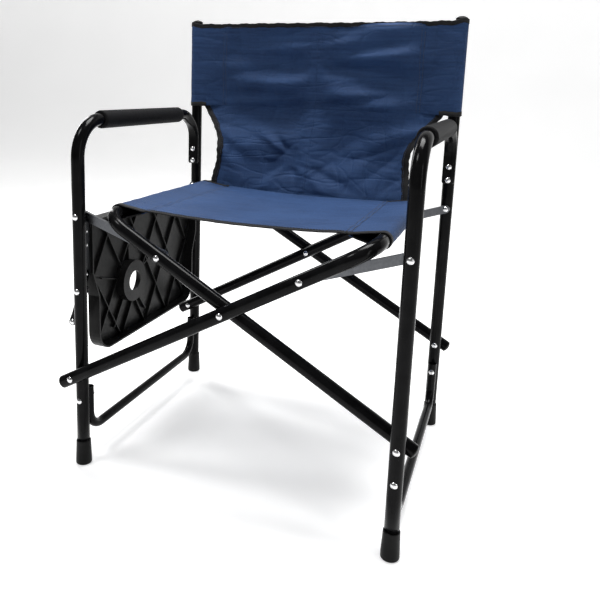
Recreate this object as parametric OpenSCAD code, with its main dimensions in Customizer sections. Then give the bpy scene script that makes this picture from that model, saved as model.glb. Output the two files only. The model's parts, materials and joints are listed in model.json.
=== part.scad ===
// Folding camp chair: two tubular side frames, two crossed seat frames that
// scissor between them, fabric seat and back, and a fold-down side table on
// the left. +Z is up, -Y is the front, +X is the sitter's left-hand side seen
// from the front. The origin is on the ground, at the middle of the chair.

/* [Side frames] */
// Distance between the centre lines of the left and right legs
leg_spacing = 547; // [520:1:580]
// Distance between the centre lines of a front leg and its rear post
leg_depth = 432; // [410:1:460]
// Height of the top of the rear posts
overall_height = 800; // [790:1:830]
// Height of the arm tube's centre line
arm_height = 602; // [590:1:615]
// Bend radius where the front leg turns into the arm
arm_front_bend = 62; // [50:1:70]
// Bend radius where the arm turns down to the rear post
arm_rear_bend = 50; // [44:1:56]
// Height of the lower end of the arm's rear drop
drop_end_height = 494; // [493:1:495]
// Length of the foam arm grip
grip_length = 278; // [240:1:280]
// Outer diameter of the foam arm grip
grip_diameter = 31; // [28:1:34]

/* [Tubes] */
// Outer diameter of the frame tubes
tube_d = 22; // [21:0.5:22]
// Wall of the frame tubes
tube_wall = 1.2; // [1:0.1:1.6]
// Outer diameter of the low stretcher tubes
stretcher_d = 16; // [14:1:16]

/* [Folding linkage] */
// Height of the lower pivots of the crossed bars
low_pivot_height = 170; // [165:1:175]
// Height of the crossing of the bars
crossing_height = 325; // [320:1:330]
// Distance along a bar from the crossing to its seat rail
rail_reach = 256; // [250:1:258]
// Bend radius between a bar and its seat rail
rail_bend = 42; // [40:1:46]
// Distance along a bar from the crossing to its seat link rivet
link_reach = 140; // [136:1:140]
// Angle of the bars to the ground when the chair is folded flat
folded_angle = 68; // [64:1:68]

/* [Side table] */
// Width of the side table's plate between the legs, at its outer end
table_width = 357; // [330:1:357]
// Distance from the table's hinge to its outer edge
table_reach = 253; // [240:1:256]
// Thickness of the table plate over its rim
table_thickness = 23; // [18:1:24]
// Radius of the cup recess
cup_radius = 37; // [34:0.5:40]

/* [Fabric] */
// Height of the lower edge of the back panel
panel_bottom = 621; // [615:1:630]
// Height of the upper edge of the back panel
panel_top = 791; // [780:1:792]
// Thickness of the doubled fabric
fabric_t = 3; // [2:0.5:4]
// Front edge of the seat
seat_front = -165; // [-168:1:-160]
// Rear edge of the seat
seat_rear = 150; // [140:1:150]

/* [Hidden] */

$fn = 48;
LEFT = -1;
RIGHT = 1;
FRONT = -1;
REAR = 1;

tube_r = tube_d / 2;
half_w = leg_spacing / 2;
half_d = leg_depth / 2;
tube_gap = 2.5;                       // washer gap between two crossing tubes
stagger = tube_d + tube_gap;          // the side frames stand one tube apart in Y
clear = 0.3;                          // gap between parts that slide on each other
pin_r = 2.5;                          // shank of every rivet
pin_clear = 0.05;                     // running clearance of a rivet in its hole
head_r = 5.2;
head_h = 2.6;
button_r = 4.6;
button_h = 1.6;

// Folding linkage, worked out in the plane of the bars (X across, Z up)
pivot_rise = crossing_height - low_pivot_height;
open_angle = atan2(pivot_rise, half_w);
bar_low = norm([half_w, pivot_rise]); // crossing to lower pivot
bar_tail = 22;                        // bar past its lower pivot
link_pivot_rise = 2 * bar_low * link_reach
    * (sin(open_angle) + sin(folded_angle)) / (bar_low + link_reach);
link_pivot_height = low_pivot_height + link_pivot_rise;
link_end = [link_reach * cos(open_angle),
            crossing_height + link_reach * sin(open_angle)];
rail_x = rail_reach * cos(open_angle);
rail_z = crossing_height + rail_reach * sin(open_angle);
link_w = 15;
link_t = 6;

// Side frame details
stretcher_r = stretcher_d / 2;
stretcher_wall = 1.2;
stretcher_height = 54;
stretcher_bend = 34;
stretcher_end = 136;
stretcher_rivet = 120;
foot_h = 44;
foot_floor = 6;
drop_rivets = [526, 501];
drop_t = 8;                           // the drop is pressed flat against the post
drop_w = 23;
plug_skirt = 6;
grip_from_leg = 64.75;

// Side table linkage, seen along Y: hinge above, stay pivot on the leg below
table_hinge = [-half_w, link_pivot_height];
stay_pivot_drop = 128;                // hinge to the stay's pivot on the leg
lug_reach = 102.2;                    // hinge to the stay's pivot on the table
lower_stay = 69.85;
upper_stay = norm([stay_pivot_drop, lug_reach]) - lower_stay + 0.2;
stay_pivot = [-half_w, table_hinge[1] - stay_pivot_drop];
table_lug = [-half_w, table_hinge[1] - lug_reach];
lug_gap = stay_pivot_drop - lug_reach;
elbow_along = (lower_stay * lower_stay - upper_stay * upper_stay
    + lug_gap * lug_gap) / (2 * lug_gap);
elbow_out = sqrt(lower_stay * lower_stay - elbow_along * elbow_along);
elbow = stay_pivot + [-elbow_out, elbow_along];
stay_w = 13;
stay_t = 2.7;
bracket_t = 3;
bracket_rivets = [28, 52];            // below the hinge
lower_stay_y = clear;                 // layers behind the leg's inner face
upper_stay_y = lower_stay_y + stay_t + clear;
bracket_y = upper_stay_y + stay_t + clear;
shoulder_y = bracket_y + bracket_t;   // where the table plate starts
table_top_gap = 10;                   // hinge to the plate's near edge
shoulder_end = 102;                   // wide part of the plate, below the hinge
taper_end = 148;
table_corner = 36;
skin = 3;
rib_t = 2;
rib_depth = 6;
cup_wall = 2.5;
cup_hole_r = 19;
cup_at = [-58, -151];                 // along Y, and below the hinge

// Fabric
sleeve_in = tube_r + clear;
sleeve_out = sleeve_in + 1.4;
seat_stitch_x = 175;
seat_z = 457;
seat_middle_z = 452;
back_stitch_x = 210;
sleeve_mouth = 1;                     // sleeve starts just past the tube's bend
lumbar_top_gap = 1.5;
lumbar_bottom = seat_middle_z + 6;
// Half widths of the lower back, from its lower edge to its upper one
lumbar_edge = [[0, 206], [0.15, 204], [0.32, 200], [0.5, 198], [0.62, 203],
               [0.74, 214], [0.86, 229], [0.95, 243], [1, 250]];

function frame_y(side) = -side * stagger / 2;
function leg_y(side, end) = frame_y(side) + end * half_d;
// Inner face of a leg: behind a front leg, in front of a rear post
function inner_y(side, end) = leg_y(side, end) - end * tube_r;
function arc(c, r, a0, a1, n = 8) =
    [for (i = [0:n]) c + r * [cos(a0 + (a1 - a0) * i / n), sin(a0 + (a1 - a0) * i / n)]];

// ---------------------------------------------------------------- tubes

module ring(r, wall) {
    difference() {
        circle(r = r);
        circle(r = r - wall);
    }
}

// Straight stretch of tube in the XY plane, from p to q
module straight(p, q, r = tube_r, wall = tube_wall) {
    d = q - p;
    translate([p[0], p[1], 0])
        rotate([0, 0, atan2(d[1], d[0])])
            rotate([0, 90, 0])
                linear_extrude(norm(d)) ring(r, wall);
}

// Bend of tube in the XY plane, about c
module bend(c, bend_r, a0, sweep, r = tube_r, wall = tube_wall) {
    translate([c[0], c[1], 0])
        rotate([0, 0, a0])
            rotate_extrude(angle = sweep)
                translate([bend_r, 0]) ring(r, wall);
}

// Turns the XY plane into the YZ plane of a side frame
module in_side_plane(side) {
    translate([side * half_w, 0, 0])
        rotate([90, 0, 90]) children();
}

// Hole along Y through whatever it is cut from
module y_hole(at, y0, y1, r = pin_r + pin_clear) {
    translate([at[0], y0, at[1]])
        rotate([-90, 0, 0]) cylinder(r = r, h = y1 - y0);
}

// ---------------------------------------------------------------- rivets

module dome(r, h) {
    big_r = (r * r + h * h) / (2 * h);
    top = asin(r / big_r);
    rotate_extrude()
        polygon(concat([[0, 0]],
            [for (i = [0:5]) [big_r * sin(top * (1 - i / 5)),
                              big_r * cos(top * (1 - i / 5)) - big_r + h]]));
}

// Rivet along Y at [x, z]: round head at the front, flat button at the rear
module rivet(at, y0, y1, head = true, button = true) {
    translate([at[0], y0, at[1]]) rotate([-90, 0, 0]) {
        cylinder(r = pin_r, h = y1 - y0);
        if (head) rotate([180, 0, 0]) dome(head_r, head_h);
        if (button) translate([0, 0, y1 - y0]) cylinder(r = button_r, h = button_h);
    }
}

module washer(at, y0, y1) {
    translate([at[0], y0, at[1]])
        rotate([-90, 0, 0])
            difference() {
                cylinder(r = 8, h = y1 - y0);
                translate([0, 0, -1]) cylinder(r = pin_r + pin_clear, h = y1 - y0 + 2);
            }
}

// ---------------------------------------------------------------- side frames

// Section of the arm's rear drop: a solid flat oval, w wide and t thick
module drop_section(t, w) {
    square([t, w - t], center = true);
    for (s = [-1, 1])
        translate([0, s * (w - t) / 2]) circle(r = t / 2, $fn = 32);
}

module arm_tube(side) {
    yf = leg_y(side, FRONT);
    y_drop = inner_y(side, REAR) - 0.1 - tube_r;
    y_bend = y_drop - arm_rear_bend;
    c = [y_bend, arm_height - arm_rear_bend];
    drop_out = arm_rear_bend + tube_r - drop_t / 2;
    pins = [low_pivot_height, link_pivot_height, stretcher_rivet, stay_pivot[1]];
    color([0.05, 0.05, 0.055])
        difference() {
            in_side_plane(side) {
                straight([yf, foot_floor], [yf, arm_height - arm_front_bend]);
                bend([yf + arm_front_bend, arm_height - arm_front_bend],
                     arm_front_bend, 180, -90);
                straight([yf + arm_front_bend, arm_height], [y_bend, arm_height]);
                bend(c, arm_rear_bend, 90, -50);
                translate([c[0], c[1], 0]) {
                    rotate_extrude(angle = 44)
                        translate([drop_out, 0]) drop_section(drop_t, drop_w);
                    translate([drop_out, 0, 0])
                        rotate([90, 0, 0])
                            linear_extrude(c[1] - drop_end_height)
                                drop_section(drop_t, drop_w);
                }
            }
            for (z = pins)
                if (side == LEFT || z != stay_pivot[1])
                    y_hole([side * half_w, z], yf - tube_d, yf + tube_d);
            for (z = drop_rivets)
                y_hole([side * half_w, z], y_drop - tube_d, y_drop + tube_d);
        }
}

module rear_post(side) {
    y = leg_y(side, REAR);
    pins = [low_pivot_height, link_pivot_height, stretcher_rivet, stay_pivot[1]];
    color([0.05, 0.05, 0.055])
        difference() {
            translate([side * half_w, y, foot_floor])
                linear_extrude(overall_height - foot_floor - plug_skirt) ring(tube_r, tube_wall);
            for (z = concat(pins, drop_rivets))
                if (side == LEFT || z != stay_pivot[1])
                    y_hole([side * half_w, z], y - tube_d, y + tube_d);
        }
}

module stretcher(side) {
    y0 = inner_y(side, FRONT) + stretcher_r + 0.2;
    y1 = inner_y(side, REAR) - stretcher_r - 0.2;
    low = stretcher_height + stretcher_bend;
    color([0.05, 0.05, 0.055])
        difference() {
            in_side_plane(side) {
                straight([y0, stretcher_end], [y0, low], stretcher_r, stretcher_wall);
                bend([y0 + stretcher_bend, low], stretcher_bend, 180, 90,
                     stretcher_r, stretcher_wall);
                straight([y0 + stretcher_bend, stretcher_height],
                         [y1 - stretcher_bend, stretcher_height], stretcher_r, stretcher_wall);
                bend([y1 - stretcher_bend, low], stretcher_bend, 270, 90,
                     stretcher_r, stretcher_wall);
                straight([y1, low], [y1, stretcher_end], stretcher_r, stretcher_wall);
            }
            for (y = [y0, y1])
                y_hole([side * half_w, stretcher_rivet], y - stretcher_d, y + stretcher_d);
        }
}

module arm_grip(side) {
    y0 = leg_y(side, FRONT) + grip_from_leg;
    r = grip_diameter / 2;
    bore_r = tube_r + 0.05;
    edge = 3;
    color([0.03, 0.03, 0.03])
        translate([side * half_w, y0, arm_height])
            rotate([-90, 0, 0])
                rotate_extrude()
                    polygon(concat([[bore_r, 0]],
                        arc([r - edge, edge], edge, -90, 0, 5),
                        arc([r - edge, grip_length - edge], edge, 0, 90, 5),
                        [[bore_r, grip_length]]));
}

module foot() {
    top_r = tube_r + 1.5;
    bottom_r = tube_r + 3;
    bore_r = tube_r + 0.05;
    edge = 2.5;
    rotate_extrude()
        polygon(concat([[0, 0]],
            arc([bottom_r - edge, edge], edge, -90, 0, 4),
            [[bottom_r, 8], [top_r, foot_h - 1], [top_r - 1, foot_h],
             [bore_r, foot_h], [bore_r, foot_floor], [0, foot_floor]]));
}

module feet(side) {
    color([0.04, 0.04, 0.04])
        for (end = [FRONT, REAR])
            translate([side * half_w, leg_y(side, end), 0]) foot();
}

module post_plug(side) {
    stem_r = tube_r - tube_wall - 0.05;
    color([0.04, 0.04, 0.04])
        translate([side * half_w, leg_y(side, REAR), overall_height - plug_skirt]) {
            translate([0, 0, -18]) cylinder(r = stem_r, h = 18);
            cylinder(r = tube_r, h = 2);
            translate([0, 0, 2]) dome(tube_r, plug_skirt - 2);
        }
}

module frame_rivets(side) {
    x = side * half_w;
    color([0.75, 0.75, 0.77]) {
        for (z = drop_rivets)
            rivet([x, z], inner_y(side, REAR) - 0.1 - drop_t - 0.05,
                  leg_y(side, REAR) + tube_r + 0.05);
        rivet([x, stretcher_rivet], leg_y(side, FRONT) - tube_r - 0.05,
              inner_y(side, FRONT) + stretcher_d + 0.25);
        rivet([x, stretcher_rivet], inner_y(side, REAR) - stretcher_d - 0.25,
              leg_y(side, REAR) + tube_r + 0.05);
    }
}

// Pins that the bars, the seat links and the table turn on
module pivot_rivets(side) {
    x = side * half_w;
    hinge_end = side == LEFT ? bracket_y + bracket_t + 0.1 : clear + link_t + 0.1;
    color([0.75, 0.75, 0.77])
        for (end = [FRONT, REAR]) {
            bar_y = leg_y(side, end) + side * stagger;
            y_low = min(leg_y(side, end), bar_y) - tube_r - 0.05;
            y_high = max(leg_y(side, end), bar_y) + tube_r + 0.05;
            rivet([x, low_pivot_height], y_low, y_high);
            leg_far = leg_y(side, end) + end * (tube_r + 0.05);
            link_far = inner_y(side, end) - end * hinge_end;
            rivet([x, link_pivot_height], min(leg_far, link_far), max(leg_far, link_far));
            if (side == LEFT) {
                stay_far = inner_y(side, end) - end * (lower_stay_y + stay_t);
                rivet(stay_pivot, min(leg_far, stay_far), max(leg_far, stay_far),
                      head = end == FRONT, button = end == REAR);
            }
        }
}

module frame_washers(side) {
    color([0.7, 0.7, 0.72])
        for (end = [FRONT, REAR]) {
            y = leg_y(side, end) + side * stagger / 2;
            washer([side * half_w, low_pivot_height], y - tube_gap / 2 + 0.05,
                   y + tube_gap / 2 - 0.05);
        }
}

// ---------------------------------------------------------------- seat frames

// The left seat frame is the right one mirrored and set back by the stagger
module seat_frame_place(side) {
    if (side == RIGHT) children();
    else mirror([1, 0, 0]) translate([0, stagger, 0]) children();
}

// Turns the XY plane into the plane of the right seat frame's bars
module in_bar_plane() {
    translate([0, 0, crossing_height]) rotate([0, -open_angle, 0]) children();
}

module seat_frame(side) {
    y0 = leg_y(RIGHT, FRONT);
    y1 = leg_y(RIGHT, REAR);
    low = -bar_low - bar_tail;
    turn = rail_reach - rail_bend;
    color([0.05, 0.05, 0.055])
        seat_frame_place(side)
            difference() {
                in_bar_plane() {
                    straight([low, y0], [turn, y0]);
                    bend([turn, y0 + rail_bend], rail_bend, -90, 90);
                    straight([rail_reach, y0 + rail_bend], [rail_reach, y1 - rail_bend]);
                    bend([turn, y1 - rail_bend], rail_bend, 0, 90);
                    straight([turn, y1], [low, y1]);
                }
                for (y = [y0, y1]) {
                    y_hole([-half_w, low_pivot_height], y - tube_d, y + tube_d);
                    y_hole([0, crossing_height], y - tube_d, y + tube_d);
                    y_hole(link_end, y - tube_d, y + tube_d);
                }
            }
}

module bar_caps(side) {
    stem_r = tube_r - tube_wall - 0.05;
    color([0.04, 0.04, 0.04])
        seat_frame_place(side)
            in_bar_plane()
                for (end = [FRONT, REAR])
                    translate([-bar_low - bar_tail, leg_y(RIGHT, end), 0])
                        rotate([0, -90, 0]) {
                            translate([0, 0, -8]) cylinder(r = stem_r, h = 8);
                            cylinder(r = tube_r, h = 1.5);
                            translate([0, 0, 1.5]) dome(tube_r, 4);
                        }
}

module crossing_rivets() {
    color([0.75, 0.75, 0.77])
        for (end = [FRONT, REAR])
            rivet([0, crossing_height], leg_y(RIGHT, end) - tube_r - 0.05,
                  leg_y(LEFT, end) + tube_r + 0.05);
}

module crossing_washers() {
    color([0.7, 0.7, 0.72])
        for (end = [FRONT, REAR])
            washer([0, crossing_height], end * half_d - tube_gap / 2 + 0.05,
                   end * half_d + tube_gap / 2 - 0.05);
}

// The bar's half of each seat link rivet: it ends at the tube's inner face
module bar_rivets(side) {
    color([0.75, 0.75, 0.77])
        seat_frame_place(side)
            for (end = [FRONT, REAR]) {
                y_out = leg_y(RIGHT, end) + end * (tube_r + 0.05);
                y_in = leg_y(RIGHT, end) - end * (tube_r - 0.05);
                rivet(link_end, min(y_out, y_in), max(y_out, y_in),
                      head = end == FRONT, button = end == REAR);
            }
}

// ---------------------------------------------------------------- seat links

// Flat strip in the XZ plane with round ends, from p to q, y0 to y1
module strip(p, q, w, y0, y1) {
    d = q - p;
    translate([p[0], y1, p[1]])
        rotate([90, 0, 0])
            rotate([0, 0, atan2(d[1], d[0])])
                linear_extrude(y1 - y0) {
                    translate([0, -w / 2]) square([norm(d), w]);
                    circle(r = w / 2);
                    translate([norm(d), 0]) circle(r = w / 2);
                }
}

module seat_links(side) {
    hinge = [side * half_w, link_pivot_height];
    far = [side * link_end[0], link_end[1]];
    color([0.07, 0.07, 0.08])
        for (end = [FRONT, REAR]) {
            y_a = inner_y(side, end) - end * clear;
            y_b = y_a - end * link_t;
            difference() {
                strip(hinge, far, link_w, min(y_a, y_b), max(y_a, y_b));
                y_hole(hinge, min(y_a, y_b) - 1, max(y_a, y_b) + 1);
            }
        }
}

// The link's half of its rivet: a button on the strip's face
module link_buttons(side) {
    far = [side * link_end[0], link_end[1]];
    color([0.75, 0.75, 0.77])
        for (end = [FRONT, REAR]) {
            y = inner_y(side, end) - end * (clear + link_t);
            translate([far[0], y, far[1]])
                rotate([end * 90, 0, 0]) dome(head_r, 2);
        }
}

// ---------------------------------------------------------------- side table

// Outline in the YZ plane of the side frame, hinge at z = 0, grown by -inset
function table_outline(inset) =
    let (w1 = half_d - tube_r - shoulder_y - inset,
         w0 = table_width / 2 - inset,
         c = table_corner - inset,
         top = -table_top_gap - inset,
         low = -table_reach + inset,
         k = 6)
    concat(
        [[-w1, top - k], [-w1, -shoulder_end], [-w0, -taper_end]],
        arc([-w0 + c, low + c], c, 180, 270),
        arc([w0 - c, low + c], c, 270, 360),
        [[w0, -taper_end], [w1, -shoulder_end], [w1, top - k], [w1 - k, top], [-w1 + k, top]]);

// Stands a YZ outline in the stowed table, from its outer face inwards
module in_table(depth0, depth1) {
    translate([-half_w - table_thickness / 2 + depth0, frame_y(LEFT), table_hinge[1]])
        rotate([90, 0, 90])
            linear_extrude(depth1 - depth0) children();
}

module rib(p, angle, length) {
    translate(p) rotate(angle) translate([0, -rib_t / 2]) square([length, rib_t]);
}

module table_ribs() {
    pitch = 86;
    slant = 58;
    difference() {
        intersection() {
            polygon(table_outline(skin));
            union() {
                for (i = [-3:3])
                    for (s = [-1, 1])
                        rib([i * pitch - s * 85, -table_reach], 90 - s * (90 - slant), 320);
                for (a = [20:72:350])
                    rib(cup_at, a, 95);
            }
        }
        translate(cup_at) circle(r = cup_radius + 1);
    }
}

module table_top() {
    color([0.06, 0.06, 0.065]) {
        difference() {
            union() {
                in_table(0, skin) polygon(table_outline(0));
                in_table(0, table_thickness)
                    difference() {
                        polygon(table_outline(0));
                        polygon(table_outline(skin));
                    }
                in_table(skin, skin + rib_depth) table_ribs();
                in_table(0, table_thickness - 2)
                    translate(cup_at) circle(r = cup_radius + cup_wall);
            }
            in_table(-1, table_thickness - 2 - skin)
                translate(cup_at) circle(r = cup_radius);
            in_table(-1, table_thickness)
                translate(cup_at) circle(r = cup_hole_r);
        }
    }
}

module table_brackets() {
    color([0.25, 0.26, 0.28])
        for (end = [FRONT, REAR]) {
            y_a = inner_y(LEFT, end) - end * (bracket_y + 0.05);
            y_b = inner_y(LEFT, end) - end * (bracket_y + bracket_t - 0.05);
            difference() {
                strip(table_hinge, table_lug, stay_w, min(y_a, y_b), max(y_a, y_b));
                y_hole(table_hinge, min(y_a, y_b) - 1, max(y_a, y_b) + 1);
            }
        }
}

// Rivet heads that hold the plate, and the flush pins of the upper stays
module table_rivets() {
    color([0.75, 0.75, 0.77])
        for (end = [FRONT, REAR]) {
            y = inner_y(LEFT, end) - end * (bracket_y - 0.02);
            for (drop = bracket_rivets)
                translate([-half_w, y, table_hinge[1] - drop])
                    rotate([-end * 90, 0, 0]) dome(4, 1.8);
            translate([table_lug[0], y, table_lug[1]])
                rotate([-end * 90, 0, 0]) {
                    cylinder(r = pin_r, h = stay_t + clear);
                    translate([0, 0, stay_t + clear]) dome(button_r, 2);
                }
        }
}

module stays(p, q, layer, hole_at) {
    for (end = [FRONT, REAR]) {
        y_a = inner_y(LEFT, end) - end * layer;
        y_b = y_a - end * stay_t;
        difference() {
            strip(p, q, stay_w, min(y_a, y_b), max(y_a, y_b));
            y_hole(hole_at, min(y_a, y_b) - 1, max(y_a, y_b) + 1);
        }
    }
}

module lower_stays() {
    color([0.07, 0.07, 0.08]) stays(stay_pivot, elbow, lower_stay_y, stay_pivot);
}

module upper_stays() {
    color([0.07, 0.07, 0.08]) stays(table_lug, elbow, upper_stay_y, table_lug);
}

// The elbow's rivet is shared: a head on each stay
module lower_stay_rivets() {
    color([0.75, 0.75, 0.77])
        for (end = [FRONT, REAR])
            translate([elbow[0], inner_y(LEFT, end) - end * (lower_stay_y - 0.02), elbow[1]])
                rotate([-end * 90, 0, 0]) dome(head_r, head_h);
}

module upper_stay_rivets() {
    color([0.75, 0.75, 0.77])
        for (end = [FRONT, REAR])
            translate([elbow[0], inner_y(LEFT, end) - end * (upper_stay_y + stay_t + 0.02),
                       elbow[1]])
                rotate([end * 90, 0, 0]) dome(button_r, button_h);
}

// ---------------------------------------------------------------- fabric

// Outline across a sleeve: a round tube pocket at the origin that closes to a
// doubled sheet at distance reach along +X and height rise
module sleeve_outline(reach, rise) {
    d = norm([reach, rise]);
    lean = atan2(rise, reach);
    a = acos((sleeve_out - fabric_t / 2) / d);
    difference() {
        union() {
            circle(r = sleeve_out);
            polygon([sleeve_out * [cos(lean + a), sin(lean + a)],
                     sleeve_out * [cos(lean - a), sin(lean - a)],
                     [reach, rise - fabric_t / 2],
                     [reach, rise + fabric_t / 2]]);
        }
        circle(r = sleeve_in);
    }
}

module seat_sleeve(side) {
    y0 = leg_y(RIGHT, FRONT) + rail_bend + sleeve_mouth;
    y1 = min(seat_rear, leg_y(RIGHT, REAR) - rail_bend - sleeve_mouth);
    shift = side == RIGHT ? 0 : stagger;
    from = max(y0, seat_front - shift);
    to = min(y1, seat_rear - shift);
    color([0.09, 0.16, 0.36])
        seat_frame_place(side)
            translate([rail_x, to, rail_z])
                rotate([90, 0, 0])
                    linear_extrude(to - from)
                        mirror([1, 0])
                            sleeve_outline(rail_x - seat_stitch_x - clear, seat_z - rail_z);
}

// Half of the seat between its stitch lines, sagging towards the middle
module seat_panel(side) {
    h = fabric_t / 2;
    color([0.09, 0.16, 0.36])
        translate([0, seat_rear, 0])
            rotate([90, 0, 0])
                linear_extrude(seat_rear - seat_front)
                    polygon([for (p = [[clear / 2, seat_middle_z - h],
                                       [seat_stitch_x, seat_z - h],
                                       [seat_stitch_x, seat_z + h],
                                       [clear / 2, seat_middle_z + h]])
                             [side * p[0], p[1]]]);
}

// Places plan outlines with the back's own plane as X, from post to post
module in_back_plan(z0, z1) {
    rotate([0, 0, -atan2(stagger, leg_spacing)])
        translate([0, 0, z0]) linear_extrude(z1 - z0) children();
}
back_half = norm([leg_spacing, stagger]) / 2;

module back_sleeve(side) {
    color([0.09, 0.16, 0.36])
        translate([0, half_d, 0])
            in_back_plan(panel_bottom, panel_top)
                translate([side * back_half, 0])
                    mirror([side == RIGHT ? 1 : 0, 0])
                        sleeve_outline(back_half - back_stitch_x - clear, 0);
}

module back_panel(side) {
    color([0.09, 0.16, 0.36])
        translate([0, half_d, 0])
            in_back_plan(panel_bottom, panel_top)
                translate([side > 0 ? clear / 2 : -back_stitch_x, -fabric_t / 2])
                    square([back_stitch_x - clear / 2, fabric_t]);
}

// Half of the lower back: from the panel down and forward to the seat's rear
// edge, with a curved cut-out beside the post
module lumbar(side) {
    y_low = seat_rear + 5;
    lean = atan2(half_d - y_low, panel_bottom - lumbar_bottom);
    height = norm([half_d - y_low, panel_bottom - lumbar_bottom]) - lumbar_top_gap;
    outline = concat([[clear / 2, 0]],
        [for (e = lumbar_edge) [e[1], height * e[0]]],
        [[clear / 2, height]]);
    color([0.09, 0.16, 0.36])
        translate([0, y_low, lumbar_bottom])
            rotate([-lean, 0, 0])
                rotate([90, 0, 0])
                    translate([0, 0, -fabric_t / 2])
                        linear_extrude(fabric_t)
                            polygon([for (p = outline) [side * p[0], p[1]]]);
}

// ---------------------------------------------------------------- nodes

arm_tube(LEFT);  // left_arm_tube
rear_post(LEFT);  // left_rear_post
stretcher(LEFT);  // left_stretcher
arm_grip(LEFT);  // left_arm_grip
feet(LEFT);  // left_feet
post_plug(LEFT);  // left_post_plug
frame_rivets(LEFT);  // left_frame_rivets
pivot_rivets(LEFT);  // left_pivot_rivets
frame_washers(LEFT);  // left_washers
arm_tube(RIGHT);  // right_arm_tube
rear_post(RIGHT);  // right_rear_post
stretcher(RIGHT);  // right_stretcher
arm_grip(RIGHT);  // right_arm_grip
feet(RIGHT);  // right_feet
post_plug(RIGHT);  // right_post_plug
frame_rivets(RIGHT);  // right_frame_rivets
pivot_rivets(RIGHT);  // right_pivot_rivets
frame_washers(RIGHT);  // right_washers
seat_frame(RIGHT);  // right_seat_frame
bar_caps(RIGHT);  // right_bar_caps
crossing_rivets();
crossing_washers();
bar_rivets(RIGHT);  // right_bar_rivets
seat_frame(LEFT);  // left_seat_frame
bar_caps(LEFT);  // left_bar_caps
bar_rivets(LEFT);  // left_bar_rivets
seat_links(LEFT);  // left_seat_links
link_buttons(LEFT);  // left_link_buttons
seat_links(RIGHT);  // right_seat_links
link_buttons(RIGHT);  // right_link_buttons
table_top();
table_brackets();
table_rivets();
lower_stays();
lower_stay_rivets();
upper_stays();
upper_stay_rivets();
seat_sleeve(LEFT);  // left_seat_sleeve
seat_sleeve(RIGHT);  // right_seat_sleeve
seat_panel(LEFT);  // seat_panel_left
seat_panel(RIGHT);  // seat_panel_right
back_sleeve(LEFT);  // left_back_sleeve
back_sleeve(RIGHT);  // right_back_sleeve
back_panel(LEFT);  // back_panel_left
back_panel(RIGHT);  // back_panel_right
lumbar(LEFT);  // lumbar_left
lumbar(RIGHT);  // lumbar_right
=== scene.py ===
import json
import math

import bpy
from mathutils import Matrix, Vector, noise


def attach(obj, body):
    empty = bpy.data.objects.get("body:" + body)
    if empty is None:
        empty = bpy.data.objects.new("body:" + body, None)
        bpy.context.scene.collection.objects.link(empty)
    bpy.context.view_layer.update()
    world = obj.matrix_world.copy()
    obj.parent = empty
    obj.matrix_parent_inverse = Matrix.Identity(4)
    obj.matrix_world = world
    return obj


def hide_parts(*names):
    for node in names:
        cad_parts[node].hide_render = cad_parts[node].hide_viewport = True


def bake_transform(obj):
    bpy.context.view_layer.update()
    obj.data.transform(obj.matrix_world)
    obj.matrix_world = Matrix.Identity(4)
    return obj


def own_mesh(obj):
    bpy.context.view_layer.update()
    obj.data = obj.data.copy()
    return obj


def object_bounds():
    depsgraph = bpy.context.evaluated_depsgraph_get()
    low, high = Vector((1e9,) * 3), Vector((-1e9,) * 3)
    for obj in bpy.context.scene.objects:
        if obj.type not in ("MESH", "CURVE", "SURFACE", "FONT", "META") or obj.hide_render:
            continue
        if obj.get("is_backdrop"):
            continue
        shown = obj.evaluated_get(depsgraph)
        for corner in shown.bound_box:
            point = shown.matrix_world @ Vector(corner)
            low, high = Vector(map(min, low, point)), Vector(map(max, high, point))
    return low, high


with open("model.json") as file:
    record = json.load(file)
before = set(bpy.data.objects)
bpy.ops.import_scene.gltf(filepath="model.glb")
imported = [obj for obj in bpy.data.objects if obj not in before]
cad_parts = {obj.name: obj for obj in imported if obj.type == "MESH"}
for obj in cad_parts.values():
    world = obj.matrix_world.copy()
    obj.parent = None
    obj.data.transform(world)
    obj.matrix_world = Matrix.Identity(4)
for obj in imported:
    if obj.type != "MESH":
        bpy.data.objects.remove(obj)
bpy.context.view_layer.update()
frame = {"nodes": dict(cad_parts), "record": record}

# ------------------------------------------------------------------ camera

yaw, pitch, roll = (math.radians(a) for a in (21.76, 10.78, 1.56))
forward = Vector((-math.sin(yaw) * math.cos(pitch), math.cos(yaw) * math.cos(pitch), -math.sin(pitch)))
level = Vector((math.cos(yaw), math.sin(yaw), 0))
upright = level.cross(forward)
right = level * math.cos(roll) + upright * math.sin(roll)
up = right.cross(forward)
cam_data = bpy.data.cameras.new("camera")
cam = bpy.data.objects.new("camera", cam_data)
bpy.context.scene.collection.objects.link(cam)
cam.matrix_world = Matrix((
    (right.x, up.x, -forward.x, 0.390),
    (right.y, up.y, -forward.y, -1.102),
    (right.z, up.z, -forward.z, 0.665),
    (0, 0, 0, 1)))
cam_data.sensor_width = 36
cam_data.lens = 39.92
cam_data.shift_x = 0.0833
cam_data.shift_y = -0.1458
cam_data.clip_start = 0.01
bpy.context.scene.camera = cam

# ------------------------------------------------------------------ sizes, in metres

HALF_W = 0.2735            # leg centre lines from the middle
HALF_D = 0.216
STAGGER = 0.0245
TUBE_R = 0.011
SKEW = math.atan2(STAGGER, 2 * HALF_W)
BACK_HALF = math.hypot(2 * HALF_W, STAGGER) / 2
RAIL_X, RAIL_Z = 0.2227, 0.4512
SLEEVE_R = 0.0122
SEAT_STITCH = 0.172
BACK_STITCH = 0.210
PANEL_LOW, PANEL_HIGH = 0.621, 0.790
CLOTH_T = 0.0014
LOWER_EDGE, LOWER_TOP = 0.450, 0.6215    # of the lower back's shaped part
LOWER_RISE = 0.1775        # to the top of its hem, behind the panel


def smooth(a, b, x):
    t = min(1.0, max(0.0, (x - a) / (b - a)))
    return t * t * (3 - 2 * t)


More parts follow.
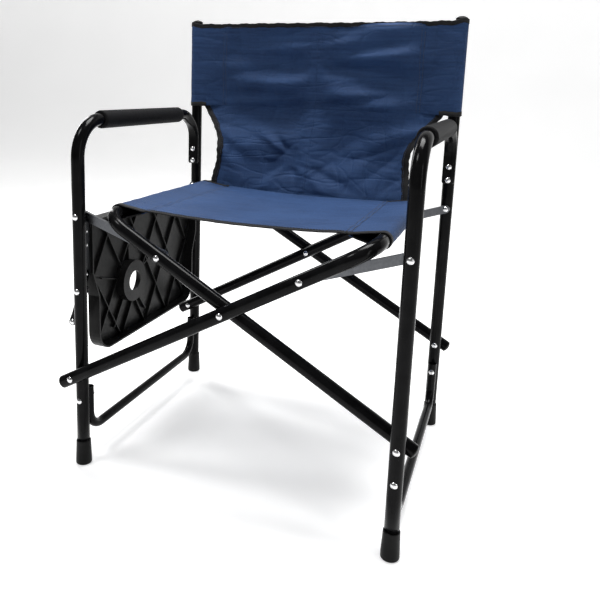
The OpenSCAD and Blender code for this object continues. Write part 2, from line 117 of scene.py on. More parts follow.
def on_back(u, w, z):
    """A point u along the back from its middle, w behind it."""
    return Vector((u * math.cos(SKEW) + w * math.sin(SKEW),
                   HALF_D - u * math.sin(SKEW) + w * math.cos(SKEW), z))


# ------------------------------------------------------------------ materials

def new_material(name, color, rough, metallic=0.0):
    m = bpy.data.materials.new(name)
    m.use_nodes = True
    b = m.node_tree.nodes["Principled BSDF"]
    b.inputs["Base Color"].default_value = (*color, 1)
    b.inputs["Roughness"].default_value = rough
    b.inputs["Metallic"].default_value = metallic
    return m, m.node_tree.nodes, m.node_tree.links, b


def noise_node(nodes, links, coord, scale, detail=3.0, stretch=(1, 1, 1), turn=0.0):
    mp = nodes.new("ShaderNodeMapping")
    mp.inputs["Rotation"].default_value = (0, 0, turn)
    mp.inputs["Scale"].default_value = stretch
    links.new(coord, mp.inputs["Vector"])
    n = nodes.new("ShaderNodeTexNoise")
    n.inputs["Scale"].default_value = scale
    n.inputs["Detail"].default_value = detail
    links.new(mp.outputs["Vector"], n.inputs["Vector"])
    return n.outputs["Fac"]


def ramp(nodes, links, fac, stops):
    r = nodes.new("ShaderNodeValToRGB")
    e = r.color_ramp.elements
    while len(e) < len(stops):
        e.new(0.5)
    for k, (pos, col) in enumerate(stops):
        e[k].position = pos
        e[k].color = (*col, 1) if len(col) == 3 else col
    links.new(fac, r.inputs["Fac"])
    return r.outputs["Color"]


def grey(v):
    return (v, v, v)


def bump(nodes, links, bsdf, height, strength, distance):
    b = nodes.new("ShaderNodeBump")
    b.inputs["Strength"].default_value = strength
    b.inputs["Distance"].default_value = distance
    links.new(height, b.inputs["Height"])
    prev = bsdf.inputs["Normal"].links
    if prev:
        links.new(prev[0].from_socket, b.inputs["Normal"])
    links.new(b.outputs["Normal"], bsdf.inputs["Normal"])


def object_coord(nodes):
    return nodes.new("ShaderNodeTexCoord").outputs["Object"]


def make_coated_steel():
    m, n, l, b = new_material("black_powder_coat", (0.003, 0.003, 0.003), 0.16)
    c = object_coord(n)
    mottle = noise_node(n, l, c, 38, 4)
    l.new(ramp(n, l, mottle, [(0.3, (0.0018, 0.0018, 0.002)), (0.75, (0.0055, 0.0055, 0.006))]),
        b.inputs["Base Color"])
    l.new(ramp(n, l, noise_node(n, l, c, 120, 4), [(0.3, grey(0.10)), (0.8, grey(0.22))]), b.inputs["Roughness"])
    b.inputs["Specular IOR Level"].default_value = 0.07
    bump(n, l, b, noise_node(n, l, c, 900, 2), 0.10, 0.0003)
    return m


def make_zinc(name, color, lo, hi):
    m, n, l, b = new_material(name, color, 0.3, 1.0)
    c = object_coord(n)
    tint = noise_node(n, l, c, 260, 3)
    l.new(ramp(n, l, tint, [(0.3, tuple(v * 0.82 for v in color)), (0.7, color)]), b.inputs["Base Color"])
    l.new(ramp(n, l, noise_node(n, l, c, 500, 4, (1, 1, 0.2)), [(0.3, grey(lo)), (0.75, grey(hi))]),
          b.inputs["Roughness"])
    bump(n, l, b, noise_node(n, l, c, 1400, 2), 0.1, 0.0002)
    return m


def make_foam():
    m, n, l, b = new_material("grip_foam", (0.007, 0.007, 0.008), 0.72)
    c = object_coord(n)
    l.new(ramp(n, l, noise_node(n, l, c, 700, 3), [(0.35, (0.004, 0.004, 0.0045)), (0.7, (0.012, 0.012, 0.013))]),
          b.inputs["Base Color"])
    b.inputs["Specular IOR Level"].default_value = 0.06
    b.inputs["Sheen Weight"].default_value = 0.05
    b.inputs["Sheen Roughness"].default_value = 0.3
    v = n.new("ShaderNodeTexVoronoi")
    v.inputs["Scale"].default_value = 1100
    l.new(c, v.inputs["Vector"])
    bump(n, l, b, v.outputs["Distance"], 0.35, 0.0006)
    bump(n, l, b, noise_node(n, l, c, 90, 3), 0.2, 0.001)
    return m


def make_plastic(name, tone, lo, hi, grain):
    m, n, l, b = new_material(name, grey(tone), 0.45)
    c = object_coord(n)
    l.new(ramp(n, l, noise_node(n, l, c, 45, 4), [(0.3, grey(tone * 0.75)), (0.75, grey(tone * 1.35))]),
          b.inputs["Base Color"])
    l.new(ramp(n, l, noise_node(n, l, c, 160, 4), [(0.3, grey(lo)), (0.75, grey(hi))]), b.inputs["Roughness"])
    b.inputs["Specular IOR Level"].default_value = 0.10
    bump(n, l, b, noise_node(n, l, c, grain, 2), 0.25, 0.0003)
    return m


def make_cloth(name, dark, light, pitch, slub, crumple=0.0):
    """Woven cloth: threads from the UVs, which are in metres."""
    m, n, l, b = new_material(name, light, 0.7)
    uv = n.new("ShaderNodeTexCoord").outputs["UV"]
    sep = n.new("ShaderNodeSeparateXYZ")
    l.new(uv, sep.inputs["Vector"])

    def wave(socket, shift):
        a = n.new("ShaderNodeMath")
        a.operation = "MULTIPLY_ADD"
        a.inputs[1].default_value = math.pi / pitch
        a.inputs[2].default_value = shift
        l.new(socket, a.inputs[0])
        s = n.new("ShaderNodeMath")
        s.operation = "SINE"
        l.new(a.outputs[0], s.inputs[0])
        return s.outputs[0]

    def math_node(op, x, y=None):
        k = n.new("ShaderNodeMath")
        k.operation = op
        for i, v in enumerate((x, y)):
            if v is None:
                continue
            if isinstance(v, (int, float)):
                k.inputs[i].default_value = v
            else:
                l.new(v, k.inputs[i])
        return k.outputs[0]

    wu, wv = wave(sep.outputs["X"], 0.0), wave(sep.outputs["Y"], 0.0)
    plain = math_node("MULTIPLY", wu, wv)                 # over and under
    over = math_node("ABSOLUTE", wu)
    under = math_node("ABSOLUTE", wv)
    pick = math_node("GREATER_THAN", plain, 0.0)
    mix = n.new("ShaderNodeMix")
    mix.data_type = "FLOAT"
    l.new(pick, mix.inputs["Factor"])
    l.new(over, mix.inputs["A"])
    l.new(under, mix.inputs["B"])
    thread = mix.outputs["Result"]
    slubs = noise_node(n, l, uv, 260, 3, slub)
    patch = noise_node(n, l, uv, 9, 4)
    for scale, turn, stretch in ((9, 0.5, (1, 3.0, 1)), (7, -0.7, (3.4, 1, 1)), (15, 1.1, (1, 2.6, 1))):
        if crumple:
            ridge = math_node("ABSOLUTE", math_node("SUBTRACT", noise_node(n, l, uv, scale, 0.4, stretch, turn), 0.5))
            fold = n.new("ShaderNodeMapRange")
            fold.interpolation_type = "SMOOTHSTEP"
            fold.inputs["From Max"].default_value = 0.055
            l.new(ridge, fold.inputs["Value"])
            bump(n, l, b, fold.outputs["Result"], crumple, 0.020 / scale)
    tone = math_node("ADD", math_node("MULTIPLY", thread, 0.38), math_node("MULTIPLY", slubs, 0.62))
    tone = math_node("ADD", tone, math_node("MULTIPLY", math_node("SUBTRACT", patch, 0.5), 0.35))
    streak = noise_node(n, l, uv, 210, 2.5, (0.05, 1, 1))
    tone = math_node("ADD", tone, math_node("MULTIPLY", math_node("SUBTRACT", streak, 0.5), 0.32))
    l.new(ramp(n, l, tone, [(0.30, dark), (0.70, light)]), b.inputs["Base Color"])
    l.new(ramp(n, l, slubs, [(0.3, grey(0.58)), (0.8, grey(0.8))]), b.inputs["Roughness"])
    b.inputs["Sheen Weight"].default_value = 0.015
    b.inputs["Sheen Roughness"].default_value = 0.4
    b.inputs["Specular IOR Level"].default_value = 0.16
    bump(n, l, b, thread, 0.45, 0.0003)
    bump(n, l, b, slubs, 0.25, 0.0004)
    return m


MATS = {
    "black_tube": make_coated_steel(),
    "zinc": make_zinc("bright_zinc", (0.74, 0.74, 0.75), 0.16, 0.34),
    "bracket_steel": make_zinc("dull_zinc", (0.13, 0.135, 0.145), 0.26, 0.44),
    "grip_foam": make_foam(),
    "black_plastic": make_plastic("moulded_black", 0.0055, 0.30, 0.46, 900),
    "table_plastic": make_plastic("table_black", 0.0060, 0.28, 0.45, 1300),
    "navy_cloth": make_cloth("navy_weave", (0.0050, 0.0150, 0.046), (0.024, 0.058, 0.150), 0.0007, (6, 1, 1)),
    "black_binding": make_cloth("black_tape", (0.002, 0.002, 0.0025), (0.014, 0.014, 0.015), 0.0008, (3, 3, 1)),
}
CRUMPLED = make_cloth("navy_weave_crumpled", (0.0050, 0.0150, 0.046), (0.024, 0.058, 0.150), 0.0007, (6, 1, 1), 0.32)
thread_mat, tn, tl, tb = new_material("navy_thread", (0.010, 0.018, 0.045), 0.6)
tl.new(ramp(tn, tl, noise_node(tn, tl, object_coord(tn), 1500, 2),
            [(0.3, (0.005, 0.010, 0.026)), (0.7, (0.016, 0.028, 0.065))]), tb.inputs["Base Color"])

for sub in frame["record"]["subparts"]:
    o = frame["nodes"][sub["node"]]
    o.data.materials.clear()
    o.data.materials.append(MATS[sub["material_slot"]])

# ------------------------------------------------------------------ mesh helpers


def build(name, verts, faces, slot, mat=None, uvs=None, shade=True):
    me = bpy.data.meshes.new(name)
    me.from_pydata([tuple(v) for v in verts], [], faces)
    if uvs:
        layer = me.uv_layers.new(name="UVMap")
        for loop in me.loops:
            layer.data[loop.index].uv = uvs[loop.vertex_index]
    if shade:
        me.polygons.foreach_set("use_smooth", [True] * len(me.polygons))
    me.materials.append(mat or MATS[slot])
    o = bpy.data.objects.new(name, me)
    bpy.context.scene.collection.objects.link(o)
    return o


def grid(name, point, nu, nv, slot, thick=CLOTH_T, flip=False, mat=None):
    """Sheet from point(i, j) -> (position, uv); its thickness grows equally on both faces."""
    verts, uvs, faces = [], [], []
    for i in range(nu + 1):
        for j in range(nv + 1):
            p, uv = point(i / nu, j / nv)
            verts.append(p)
            uvs.append(uv)
    for i in range(nu):
        for j in range(nv):
            a = i * (nv + 1) + j
            q = (a, a + nv + 1, a + nv + 2, a + 1)
            faces.append(q[::-1] if flip else q)
    o = build(name, verts, faces, slot, mat, uvs)
    s = o.modifiers.new("thickness", "SOLIDIFY")
    s.thickness = thick
    s.offset = 0
    s.use_even_offset = True
    return o


def path_at(points, t):
    """Point at share t of a polyline's length, and that length."""
    seg = [(points[k + 1] - points[k]).length for k in range(len(points) - 1)]
    total = sum(seg)
    d = t * total
    for k, s in enumerate(seg):
        if d <= s or k == len(seg) - 1:
            return points[k].lerp(points[k + 1], d / s if s else 0), total
        d -= s


def wrinkle(x, y, z, scale=1.0):
    return noise.noise(Vector((x, y, z)) * scale)


# ------------------------------------------------------------------ seat

SEAT_FRONT = -0.164


def seat_rear(x):
    return 0.1625 - 0.045 * x


def seam(d):
    """Depth of the groove that a pair of stitch rows pulls into the cloth, d from the outer row."""
    return 0.0011 * (math.exp(-(d / 0.0016) ** 2) + math.exp(-((d - 0.007) / 0.0016) ** 2))


def seat_surface(x, y):
    """Height of the cloth between its stitch lines."""
    a = abs(x) / SEAT_STITCH
    base = 0.4515 + 0.0056 * a ** 2
    along = (y - SEAT_FRONT) / (seat_rear(x) - SEAT_FRONT)
    hang = -0.0035 * math.sin(math.pi * min(1, max(0, along))) * (1 - a ** 2)
    pull = 0.0010 * wrinkle(x * 7, y * 34, 0.3) + 0.0006 * wrinkle(x * 22, y * 60, 4.1)
    side = 0.0009 * math.sin(y * 150 + 2.0 * wrinkle(y * 12, 0, 1)) * smooth(0.6, 1.0, a) * smooth(1.25, 1.0, a)
    return base + hang + pull * smooth(1.2, 0.9, a) + side - seam(SEAT_STITCH - abs(x))


def seat_profile(offset=0.0):
    """Cross-section of the seat cloth, from one sleeve's underside to the other's."""
    r = SLEEVE_R + offset
    zs = seat_surface(SEAT_STITCH, 0)
    dx, dz = RAIL_X - SEAT_STITCH, zs - RAIL_Z
    d = math.hypot(dx, dz)
    lean, a = math.atan2(dz, dx), math.acos(r / d)
    arc = [Vector((-RAIL_X + r * math.cos(t), RAIL_Z + r * math.sin(t)))
           for t in [lean - a - (2 * math.pi - 2 * a) * k / 24 for k in range(25)]]
    left = [Vector((-SEAT_STITCH, zs - 0.0022))] + arc + [Vector((-SEAT_STITCH, zs))]
    middle = [Vector((x, seat_surface(x, 0))) for x in [-SEAT_STITCH + 2 * SEAT_STITCH * k / 60 for k in range(1, 60)]]
    return left + middle + [Vector((-p.x, p.y)) for p in reversed(left)]


seat_line = seat_profile()
_, seat_flat_w = path_at(seat_line, 0)


def seat_point(u, v):
    p, total = path_at(seat_line, u)
    y = SEAT_FRONT + (seat_rear(p.x) - SEAT_FRONT) * v
    z = p.y
    share = u * total
    if abs(p.x) < SEAT_STITCH and 0.10 < share < total - 0.10:
        z = seat_surface(p.x, y)
    else:
        puff = 0.0007 * wrinkle(p.x * 20, y * 45, p.y * 30)
        z += puff
    return Vector((p.x, y, z)), (share, y)


seat = grid("seat_cloth", seat_point, 300, 110, "navy_cloth")
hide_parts("seat_panel_left", "seat_panel_right", "left_seat_sleeve", "right_seat_sleeve")
seat_parts = [seat]


def tape(name, point, n, width, slot="black_binding", thick=0.0010, body_off=0.0012):
    """Binding folded over an edge: point(t) -> (edge point, inward direction, normal)."""
    verts, uvs, faces = [], [], []
    ring = []
    for k in range(9):
        t = math.pi * k / 8 - math.pi / 2
        ring.append((-math.cos(t) * 0.0012, math.sin(t) * body_off))
    ring = [(width, -body_off)] + ring + [(width, body_off), (width, body_off - thick * 0.7),
                                         (width * 0.5, 0.0), (width, -body_off + thick * 0.7)]
    m = len(ring)
    d = 0.0
    last = None
    for i in range(n + 1):
        e, inward, nrm = point(i / n)
        if last is not None:
            d += (e - last).length
        last = e
        for k, (a, h) in enumerate(ring):
            verts.append(e + inward * a + nrm * h)
            uvs.append((d, a + 0.03 * (h > 0)))
    for i in range(n):
        for k in range(m):
            a, b = i * m + k, i * m + (k + 1) % m
            faces.append((a, b, b + m, a + m))
    faces.append(tuple(range(m))[::-1])
    faces.append(tuple(n * m + k for k in range(m)))
    return build(name, verts, faces, slot, uvs=uvs)


def seat_edge(front, t0, t1):
    """Runs along the seat's front or rear edge, sleeves included."""
    def point(t):
        share = t0 + (t1 - t0) * t
        p = seat_point(share, 0.0 if front else 1.0)[0]
        a = seat_point(max(0, share - 0.0015), 0.0 if front else 1.0)[0]
        b = seat_point(min(1, share + 0.0015), 0.0 if front else 1.0)[0]
        d = b - a
        nrm = Vector((-d.z, 0, d.x)).normalized()
        wave = 0.0005 * math.sin(share * 140)
        return p + Vector((0, (-0.0006 + wave) * (1 if front else -1), 0)), Vector((0, 1 if front else -1, 0)), \
            nrm * (1 if front else -1)
    return point


seat_parts.append(tape("seat_front_binding", seat_edge(True, 0.01, 0.99), 260, 0.010))
seat_parts.append(tape("seat_rear_binding_left", seat_edge(False, 0.01, 0.235), 90, 0.010))
seat_parts.append(tape("seat_rear_binding_right", seat_edge(False, 0.765, 0.99), 90, 0.010))


def stitches(name, lines, slot="navy_cloth", length=0.0032, gap=0.0014, r=0.00056, mat=None):
    """Rows of thread: each line is [(point, normal), ...] sampled finely."""
    verts, faces = [], []
    for line in lines:
        pts = [p for p, _ in line]
        total = sum((pts[k + 1] - pts[k]).length for k in range(len(pts) - 1))
        count = int(total / (length + gap))
        for s in range(count):
            a, b = s * (length + gap) / total, (s * (length + gap) + length) / total
            pa, _ = path_at(pts, a)
            pb, _ = path_at(pts, b)
            nrm = line[min(len(line) - 1, int((a + b) / 2 * (len(line) - 1) + 0.5))][1]
            axis = (pb - pa).normalized()
            side = axis.cross(nrm).normalized()
            base = len(verts)
            for f, h, w in ((0, -0.3, 0.5), (0.2, 0.7, 1), (0.8, 0.7, 1), (1, -0.3, 0.5)):
                c = pa.lerp(pb, f) + nrm * r * h
                for k in range(6):
                    t = math.tau * k / 6
                    verts.append(c + side * math.cos(t) * r * w + nrm * math.sin(t) * r * w)
            for row in range(3):
                for k in range(6):
                    q, q2 = base + row * 6 + k, base + row * 6 + (k + 1) % 6
                    faces.append((q, q2, q2 + 6, q + 6))
            faces.append(tuple(base + k for k in range(6))[::-1])
            faces.append(tuple(base + 18 + k for k in range(6)))
    return build(name, verts, faces, slot, mat=mat or thread_mat)


def seat_row(x):
    out = []
    for k in range(121):
        y = SEAT_FRONT + 0.002 + (seat_rear(x) - SEAT_FRONT - 0.004) * k / 120
        out.append((Vector((x, y, seat_surface(x, y) + CLOTH_T / 2)), Vector((0, 0, 1))))
    return out


rows = [seat_row(s * x) for s in (-1, 1) for x in (SEAT_STITCH, SEAT_STITCH - 0.007)]
seat_parts.append(stitches("seat_stitching", rows))
seat_parts.append(stitches("seat_front_stitching", [[
    (p + i * 0.008 + nn * 0.0014, nn) for p, i, nn in (seat_edge(True, 0.21, 0.79)(k / 160) for k in range(161))]],
    slot="black_binding"))
for o in seat_parts:
    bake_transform(o)

# ------------------------------------------------------------------ back


def crease(x, y, z):
    """Noise with sharp valleys, like cloth that was folded."""
    return 1 - 2 * abs(wrinkle(x, y, z)) * 1.6


def seam_at(d):
    return -0.0011 * (math.exp(-(d / 0.0017) ** 2) + math.exp(-((d - 0.006) / 0.0017) ** 2))


def calm(u):
    """Flattens the cloth towards its middle, where the two halves meet when the chair is folded."""
    return 1 - 0.95 * math.exp(-(u / 0.027) ** 2)


def panel_depth(u, z):
    """How far the panel lies behind its plane."""
    a = abs(u) / BACK_STITCH
    f = smooth(1.1, 0.72, a)
    h = (z - PANEL_LOW) / (PANEL_HIGH - PANEL_LOW)
    tilt = z + 0.10 * u
    folds = 0.0230 * wrinkle(u * 1.6 + 2.0, 0.7, tilt * 19) + 0.0100 * wrinkle(u * 3.6 + 9, 3.1, (z - 0.07 * u) * 42)
    folds += 0.0034 * crease(u * 5 + 1 + z * 8, 7.7, z * 22 - u * 4)
    folds += 0.0085 * wrinkle(u * 14 + 3.3, 4.2, z * 12 + 1) * smooth(0.55, 0.95, a)
    belly = 0.004 * (1 - a * a) * (0.6 + 0.4 * h) - seam_at(BACK_STITCH - abs(u))
    near = 0.0014 * wrinkle(u * 26, 8.2, z * 42) * smooth(0.7, 1.0, a)
    return (belly + folds * f) * calm(u) + near * smooth(1.3, 1.0, a)


def back_path(side, z):
    """Plan of one half of the back, from the middle round the post."""
    pts = []
    for k in range(106):
        u = BACK_STITCH * k / 105
        pts.append(Vector((u, panel_depth(side * u, z))))
    r = SLEEVE_R
    w0 = pts[-1].y
    dx, dw = BACK_HALF - BACK_STITCH, 0 - w0
    d = math.hypot(dx, dw)
    lean, a = math.atan2(-dw, -dx), math.acos(r / d)
    for k in range(25):
        t = lean + a + (2 * math.pi - 2 * a) * k / 24
        pts.append(Vector((BACK_HALF + r * math.cos(t), r * math.sin(t))))
    pts.append(Vector((BACK_STITCH + 0.0005, w0 + 0.0026)))
    return pts


def back_half_sheet(side):
    name = "right" if side > 0 else "left"
    cache = {}

    def point(u, v):
        z = PANEL_LOW + (PANEL_HIGH - PANEL_LOW) * v
        key = round(v * 1000)
        if key not in cache:
            cache[key] = back_path(side, z)
        p, total = path_at(cache[key], u)
        bulge = 0.0008 * wrinkle(p.x * 40, z * 60, side * 2.0) * smooth(0.19, 0.24, p.x)
        return on_back(side * p.x, p.y + bulge, z), (side * u * total + 0.7, z)

    o = grid(f"back_cloth_{name}", point, 170, 70, "navy_cloth", flip=side > 0, mat=CRUMPLED)
    total = path_at(back_path(side, 0.7), 0)[1]
    return o, total


def panel_row(side, u, z0, z1, n=60, lift=0.0009, front=True):
    out = []
    for k in range(n + 1):
        z = z0 + (z1 - z0) * k / n
        w = panel_depth(side * u, z) + (-lift if front else lift)
        nrm = on_back(0, -1 if front else 1, 0) - on_back(0, 0, 0)
        out.append((on_back(side * u, w, z), nrm.normalized()))
    return out


def edge_row(side, z, u0, u1, lift=0.0013, n=120):
    out = []
    nrm = (on_back(0, -1, 0) - on_back(0, 0, 0)).normalized()
    for k in range(n + 1):
        u = u0 + (u1 - u0) * k / n
        out.append((on_back(side * u, panel_depth(side * u, z) - lift, z), nrm))
    return out


def rim(side, z, t0, t1, drop):
    """Runs along the cloth's upper (drop 1) or lower (drop -1) edge, round the post's sleeve."""
    line = back_path(side, z)

    def point(t):
        share = t0 + (t1 - t0) * t
        p, _ = path_at(line, share)
        a, _ = path_at(line, max(0, share - 0.004))
        b, _ = path_at(line, min(1, share + 0.004))
        d = (b - a).normalized()
        nrm = on_back(side * d.y, -d.x, 0) - on_back(0, 0, 0)
        wave = 0.0006 * math.sin(share * 60 + 1.0) + 0.0003 * math.sin(share * 171)
        peak = 0.0035 * math.exp(-((p.x - 0.281) / 0.012) ** 2) if drop > 0 else 0.0
        e = on_back(side * p.x, p.y, z + drop * (0.0006 + wave) + peak)
        return e, Vector((0, 0, -drop)), nrm * (side * drop)
    return point


# Outline of the lower back: height, half width and place in depth
LOWER = [(0.4500, 0.2090, -0.0526), (0.480, 0.2060, -0.0455), (0.505, 0.2020, -0.038), (0.530, 0.1990, -0.030),
         (0.550, 0.2020, -0.0235), (0.570, 0.2120, -0.0165), (0.590, 0.2270, -0.0095), (0.606, 0.2420, -0.004),
         (0.6215, 0.2570, 0.000)]


def lower_at(z):
    for (z0, x0, w0), (z1, x1, w1) in zip(LOWER, LOWER[1:]):
        if z <= z1 or z1 == LOWER[-1][0]:
            t = min(1, max(0, (z - z0) / (z1 - z0)))
            return x0 + (x1 - x0) * t, w0 + (w1 - w0) * t


def lower_smooth(z):
    """The outline with its corners rounded off."""
    acc = [lower_at(min(LOWER_TOP, max(LOWER_EDGE, z + d))) for d in (-0.012, -0.006, 0, 0.006, 0.012)]
    return sum(a[0] for a in acc) / 5, sum(a[1] for a in acc) / 5


HUB = (-0.035, 0.520)


def hub_creases(u, z):
    """Sharp creases that run out from a point low on the back, as they do in a sling that was folded."""
    du, dz = u - HUB[0], (z - HUB[1]) * 1.25
    reach = math.hypot(du, dz)
    angle = math.atan2(dz, du)
    total = 0.0
    for k in range(11):
        at = -math.pi + math.tau * (k + 0.35 * math.sin(k * 2.3)) / 11
        off = (angle - at + math.pi) % math.tau - math.pi
        across = reach * math.sin(max(-1.2, min(1.2, off)))
        width = 0.006 + 0.05 * reach
        strength = (0.6 + 0.4 * math.sin(k * 5.1)) * smooth(0.015, 0.04, reach) * smooth(0.10 + 0.06 * (k % 3),
            0.03, reach)
        if abs(off) < 1.2:
            total += strength * math.exp(-(across / width) ** 2) * (1 if k % 2 else -0.8)
    return total


def lower_point(side, s, z):
    half, w = lower_smooth(z)
    u = half * s
    g = side * u
    h = (z - LOWER_EDGE) / 0.171
    a = abs(u) / 0.21
    edge = smooth(0.30, 1.0, s)
    mid = math.sin(math.pi * min(1, max(0, h)))
    # folds that run out to the cut-outs and lie flat at the sewn top and bottom
    reach = math.hypot(0.27 - u, z - 0.61)
    ray = math.atan2(z - 0.61, 0.29 - u)
    fan = crease(ray * 4.2 + 3.0 * (side > 0), reach * 4, 2.5)
    pull = 0.0070 * (fan - 0.45) * edge * mid
    pull += 0.0090 * mid * (1 - a * a * 0.8)
    pull += 0.0150 * wrinkle(g * 4.5 + 4 + z * 6, 2.2, z * 11 - g * 4) * mid
    pull += 0.0075 * hub_creases(g, z) * smooth(0, 0.25, mid)
    pull += 0.0020 * (crease(g * 15 - z * 12, 6.2, z * 20 + g * 8) - 0.4) * mid
    w += pull * calm(u)
    w += panel_depth(g if u < BACK_STITCH else side * BACK_STITCH, max(z, PANEL_LOW)) * smooth(0.55, 0.6205, z)
    w += 0.0010 * smooth(0.6205, 0.6225, z)               # the hem, behind the panel
    return on_back(side * u, w + 0.0004, z)


def lower_sheet(side):
    name = "right" if side > 0 else "left"

    def point(i, j):
        z = LOWER_EDGE + LOWER_RISE * j
        p = lower_point(side, i, z)
        return p, (side * lower_smooth(z)[0] * i + 2.1, z)

    o = grid(f"lower_back_{name}", point, 110, 90, "navy_cloth", flip=side > 0, mat=CRUMPLED)

    def cut(t):
        z = 0.452 + 0.1675 * t
        e = lower_point(side, 1.0, z)
        inner = lower_point(side, 0.97, z)
        above = lower_point(side, 1.0, z + 0.002)
        inward = (inner - e).normalized()
        along = (above - e).normalized()
        nrm = along.cross(inward).normalized()
        scallop = 0.0006 * math.sin(z * 420 + side)
        return e - inward * (0.001 + scallop), inward, nrm

    b = tape(f"cutout_binding_{name}", cut, 80, 0.0125, body_off=0.0014)
    rows = [[(p + i * 0.0098 + nn * (0.0015 * s2), nn * s2) for p, i, nn in (cut(k / 90) for k in range(91))]
            for s2 in (-1, 1)]
    st = stitches(f"cutout_stitching_{name}", rows, slot="black_binding")
    return o, b, st


for side in (1, -1):
    name = "right" if side > 0 else "left"
    leaf = f"back_{name}"
    cloth, flat_w = back_half_sheet(side)
    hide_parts(f"{name}_back_sleeve", f"back_panel_{name}")
    extra = [
        tape(f"back_top_binding_{name}", rim(side, PANEL_HIGH, 0.0, 0.995, 1), 220, 0.0075, body_off=0.0013),
        tape(f"sleeve_binding_{name}", rim(side, PANEL_LOW, 0.66, 0.995, -1), 120, 0.0075, body_off=0.0013),
        stitches(f"back_stitching_{name}", [
            panel_row(side, BACK_STITCH, PANEL_LOW + 0.002, PANEL_HIGH - 0.012),
            panel_row(side, BACK_STITCH - 0.006, PANEL_LOW + 0.002, PANEL_HIGH - 0.012),
            panel_row(side, BACK_STITCH, PANEL_LOW + 0.002, PANEL_HIGH - 0.012, front=False, lift=0.0035)]),
        stitches(f"back_top_stitching_{name}", [edge_row(side, PANEL_HIGH - 0.0058, 0.001, 0.208, lift=0.0014)],
                 slot="black_binding"),
    ]
    for o in [cloth] + extra:
        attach(o, leaf)
    low, bind, sew = lower_sheet(side)
    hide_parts(f"lumbar_{name}")
    for o in (low, bind, sew):
        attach(o, leaf)
        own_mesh(o)

# ------------------------------------------------------------------ arm tubes with their pressed drops


def arm_path(side):
    """Centre line of the arm tube in its own plane, with the section at each point: (y, z, dy, dz, thick, wide)."""
    fy = -side * STAGGER / 2
    yf, yr = fy - HALF_D, fy + HALF_D
    drop_y = yr - TUBE_R - 0.0001 - TUBE_R
    rf, rr, top = 0.062, 0.050, 0.602
    out = [(yf, 0.006, 0, 1, 22, 22)]
    out += [(yf, z, 0, 1, 22, 22) for z in (0.1, 0.2, 0.3, 0.4, 0.5, 0.538)]
    for k in range(0, 17):
        t = math.pi - math.pi / 2 * k / 16
        out.append((yf + rf + rf * math.cos(t), top - rf + rf * math.sin(t), math.sin(t), -math.cos(t), 22, 22))
    yb = drop_y - rr
    for k in range(1, 5):
        f = k / 5
        out.append((yf + rf + (yb - yf - rf) * f, top, 1, 0, 22, 22))
    for k in range(0, 21):
        t = math.pi / 2 * (1 - k / 20)
        f = smooth(0.35, 1.0, k / 20)
        th, wd = 22 + (8 - 22) * f, 22 + (23 - 22) * f
        r = rr + TUBE_R - th / 2000
        out.append((yb + r * math.cos(t), top - rr + r * math.sin(t), math.sin(t), -math.cos(t), th, wd))
    ye = yb + rr + TUBE_R - 0.004
    for z in (0.545, 0.535, 0.52, 0.508, 0.498):
        out.append((ye, z, 0, -1, 8, 23))
    out.append((ye, 0.4955, 0, -1, 7.4, 21.5))
    out.append((ye, 0.494, 0, -1, 5.5, 18.5))
    return out


def arm_tube(side):
    name = "right" if side > 0 else "left"
    rows = arm_path(side)
    n = 40
    verts, faces = [], []
    for y, z, dy, dz, th, wd in rows:
        e = 1.0 - 0.35 * (1 - min(th, 22) / 22) / (1 - 8 / 22)
        for k in range(n):
            t = math.tau * k / n
            c, s = math.cos(t), math.sin(t)
            a = math.copysign(abs(c) ** e, c) * wd / 2000
            b = math.copysign(abs(s) ** e, s) * th / 2000
            # b runs across the tube in its bending plane
            verts.append((side * HALF_W + a, y - dz * b, z + dy * b))
    for i in range(len(rows) - 1):
        for k in range(n):
            a, b = i * n + k, i * n + (k + 1) % n
            faces.append((a, b, b + n, a + n))
    faces.append(tuple(range(n))[::-1])
    faces.append(tuple((len(rows) - 1) * n + k for k in range(n)))
    o = build(f"{name}_arm", verts, faces, "black_tube")
    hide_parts(f"{name}_arm_tube")
    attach(o, f"{name}_frame")
    return o


for side in (1, -1):
    arm_tube(side)

# ------------------------------------------------------------------ stage

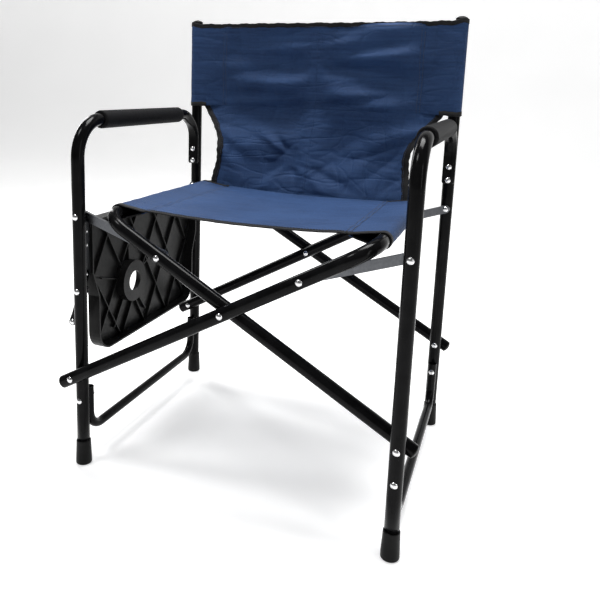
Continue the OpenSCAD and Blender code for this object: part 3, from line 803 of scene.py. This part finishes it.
floor_mat, fn, fl, fb = new_material("studio_floor", (0.86, 0.86, 0.86), 0.75)
fl.new(ramp(fn, fl, noise_node(fn, fl, object_coord(fn), 3, 2), [(0.3, grey(0.84)), (0.7, grey(0.88))]),
       fb.inputs["Base Color"])
fb.inputs["Emission Color"].default_value = (1, 1, 1, 1)
fb.inputs["Emission Strength"].default_value = 0.42
verts, faces = [], []
prof = [(-6.0, 0.0)] + [(3.2, 0.0)] + [(3.2 + 1.5 * math.sin(t), 1.5 - 1.5 * math.cos(t))
                                       for t in [math.pi / 2 * k / 12 for k in range(1, 13)]] + [(4.7, 6.0)]
for x in (-9, 9):
    for y, z in prof:
        verts.append((x, y, z - 0.0002))
m = len(prof)
for k in range(m - 1):
    faces.append((k, k + m, k + m + 1, k + 1))
me = bpy.data.meshes.new("backdrop")
me.from_pydata(verts, [], faces)
me.polygons.foreach_set("use_smooth", [True] * len(me.polygons))
me.materials.append(floor_mat)
floor = bpy.data.objects.new("backdrop", me)
bpy.context.scene.collection.objects.link(floor)
floor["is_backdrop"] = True


def softbox(name, at, aim, size, power):
    d = bpy.data.lights.new(name, "AREA")
    d.shape = "RECTANGLE"
    d.size, d.size_y = size
    d.energy = power
    o = bpy.data.objects.new(name, d)
    o.location = at
    o.rotation_euler = (Vector(aim) - Vector(at)).to_track_quat("-Z", "Y").to_euler()
    bpy.context.scene.collection.objects.link(o)


softbox("key", (-1.3, -1.3, 3.1), (0, 0, 0.45), (0.7, 0.7), 38)
softbox("fill", (2.5, -1.3, 1.2), (0, 0, 0.45), (0.3, 1.8), 9)
softbox("top", (0.1, 0.3, 2.8), (0, 0, 0.3), (1.4, 1.0), 104)
softbox("rim", (-2.2, 1.4, 1.5), (0, 0, 0.5), (0.4, 1.8), 24)
world = bpy.data.worlds.new("studio")
bpy.context.scene.world = world
world.use_nodes = True
world.node_tree.nodes["Background"].inputs["Color"].default_value = (1, 1, 1, 1)
world.node_tree.nodes["Background"].inputs["Strength"].default_value = 0.15
bpy.context.scene.view_settings.view_transform = "Standard"

low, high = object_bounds()
